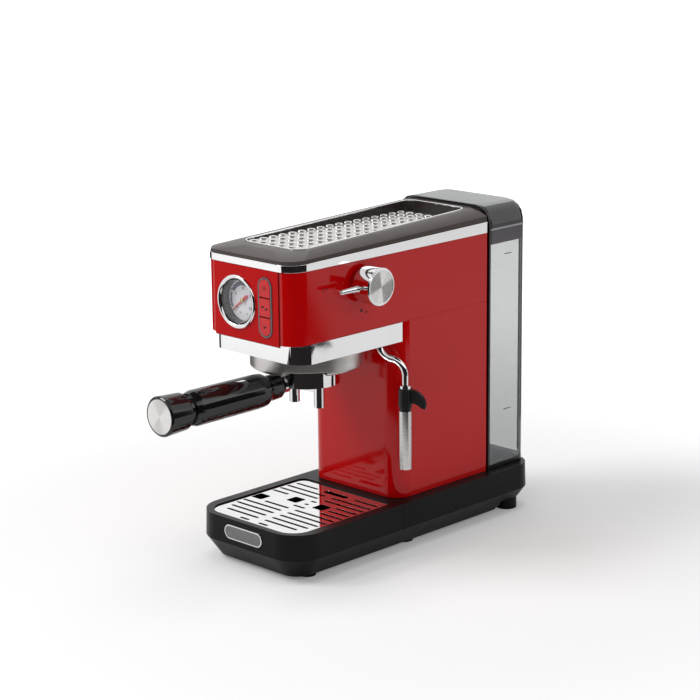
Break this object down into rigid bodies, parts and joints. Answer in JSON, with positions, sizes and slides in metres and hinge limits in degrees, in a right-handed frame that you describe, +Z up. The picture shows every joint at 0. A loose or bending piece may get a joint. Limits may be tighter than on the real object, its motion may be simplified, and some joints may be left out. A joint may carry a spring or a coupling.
{
  "type": "espresso machine",
  "caption": "Slim pump espresso machine with painted head and column, rear water tank, bayonet portafilter, swivelling steam wand and pull-out drip tray.",
  "frame": {"origin": "centre of the machine's footprint box, on the worktop, with the portafilter handle at rest", "axes": "+X to the right seen from the front, +Y from the front to the water tank, +Z up"},
  "size_m": [0.1566, 0.4214, 0.305],
  "materials": {
    "black_base": "satin moulded",
    "rubber_black": "matt",
    "zinc_steel": "zinc plated",
    "red_paint": "high gloss",
    "bright_chrome": "polished",
    "cover_bronze": "satin metallic",
    "plate_steel": "polished",
    "gauge_black": "satin",
    "gauge_face": "satin",
    "clear_glass": "polished",
    "copper_tube": "drawn",
    "needle_red": "satin",
    "frame_grey": "satin",
    "board_green": "satin",
    "button_red": "gloss",
    "collar_steel": "turned",
    "cast_alloy": "cast",
    "element_steel": "matt",
    "brass_parts": "turned",
    "ceramic_white": "matt",
    "pump_body": "satin",
    "clear_hose": "satin",
    "chrome_control": "polished",
    "grip_black": "gloss",
    "tray_black": "satin moulded",
    "tank_smoke": "clear smoke tint",
    "lid_smoke": "clear smoke tint"
  },
  "bodies": {
    "machine": {"base_pan": "black_base", "base_bottom_plate": "black_base", "cord_gland": "black_base", "tank_coupling": "black_base", "middle_feet": "rubber_black", "rear_feet": "rubber_black", "tank_gasket": "rubber_black", "group_gasket": "rubber_black", "pump_mounts": "rubber_black", "base_screws": "zinc_steel", "boiler_bracket": "zinc_steel", "column_shell": "red_paint", "head_shell": "red_paint", "front_panel": "red_paint", "head_trim_strip": "bright_chrome", "cup_rail": "bright_chrome", "gauge_bezel": "bright_chrome", "group_skirt": "bright_chrome", "wand_socket": "bright_chrome", "top_cover": "cover_bronze", "cup_warming_plate": "plate_steel", "gauge_case": "gauge_black", "gauge_dial": "gauge_face", "gauge_glass": "clear_glass", "gauge_capillary": "copper_tube", "steam_feed_pipe": "copper_tube", "button_frame": "frame_grey", "switch_board": "board_green", "control_board": "board_green", "group_collar": "collar_steel", "shower_screen": "collar_steel", "shower_screw": "collar_steel", "group_head": "cast_alloy", "thermoblock": "cast_alloy", "heating_element": "element_steel", "steam_valve_body": "brass_parts", "relief_valve": "brass_parts", "board_posts": "brass_parts", "thermostat": "ceramic_white", "vibration_pump": "pump_body", "suction_hose": "clear_hose", "pressure_hose": "clear_hose"},
    "drip_tray": {"drip_tray": "tray_black"},
    "drip_grille": {"drip_grille": "plate_steel"},
    "water_tank": {"water_tank": "tank_smoke"},
    "tank_lid": {"tank_lid": "lid_smoke"},
    "steam_control": {"steam_knob": "chrome_control", "knob_lever": "chrome_control", "valve_spindle": "brass_parts"},
    "steam_wand": {"steam_wand": "chrome_control", "wand_grip": "grip_black", "frothing_sleeve": "collar_steel"},
    "portafilter": {"portafilter_body": "chrome_control", "filter_basket": "collar_steel", "portafilter_handle": "grip_black", "handle_cap": "grip_black"},
    "button_top": {"button_top": "button_red"},
    "button_middle": {"button_middle": "button_red"},
    "button_bottom": {"button_bottom": "button_red"},
    "gauge_needle": {"gauge_needle": "needle_red"}
  },
  "joints": [
    {"name": "drip_tray_pull", "type": "slide", "parent": "machine", "child": "drip_tray", "axis": [0, -1, 0], "range_m": [0, 0.14]},
    {"name": "drip_grille_lift", "type": "slide", "parent": "drip_tray", "child": "drip_grille", "axis": [0, 0, 1], "range_m": [0, 0.05]},
    {"name": "tank_lift", "type": "slide", "parent": "machine", "child": "water_tank", "axis": [0, 0, 1], "range_m": [0, 0.2]},
    {"name": "tank_lid_lift", "type": "slide", "parent": "water_tank", "child": "tank_lid", "axis": [0, 0, 1], "range_m": [0, 0.06]},
    {"name": "steam_knob_turn", "type": "hinge", "parent": "machine", "child": "steam_control", "pos_m": [0.04817, -0.02025, 0.2595], "axis": [1, 0, 0], "range_deg": [0, 90]},
    {"name": "steam_wand_swivel", "type": "hinge", "parent": "machine", "child": "steam_wand", "pos_m": [0.03567, 0.01375, 0.19], "axis": [0, 0, 1], "range_deg": [-80, 8]},
    {"name": "portafilter_turn", "type": "hinge", "parent": "machine", "child": "portafilter", "pos_m": [-0.00933, -0.03475, 0.18], "axis": [0, 0, 1], "range_deg": [-45, 0]},
    {"name": "button_top_press", "type": "slide", "parent": "machine", "child": "button_top", "axis": [0, 1, 0], "range_m": [0, 0.0015], "stiffness_N_per_m": 400},
    {"name": "button_middle_press", "type": "slide", "parent": "machine", "child": "button_middle", "axis": [0, 1, 0], "range_m": [0, 0.0015], "stiffness_N_per_m": 400},
    {"name": "button_bottom_press", "type": "slide", "parent": "machine", "child": "button_bottom", "axis": [0, 1, 0], "range_m": [0, 0.0015], "stiffness_N_per_m": 400},
    {"name": "gauge_needle_turn", "type": "hinge", "parent": "machine", "child": "gauge_needle", "pos_m": [-0.02123, -0.10625, 0.247], "axis": [0, 1, 0], "range_deg": [0, 255], "stiffness_Nm_per_rad": 0.0002}
  ]
}
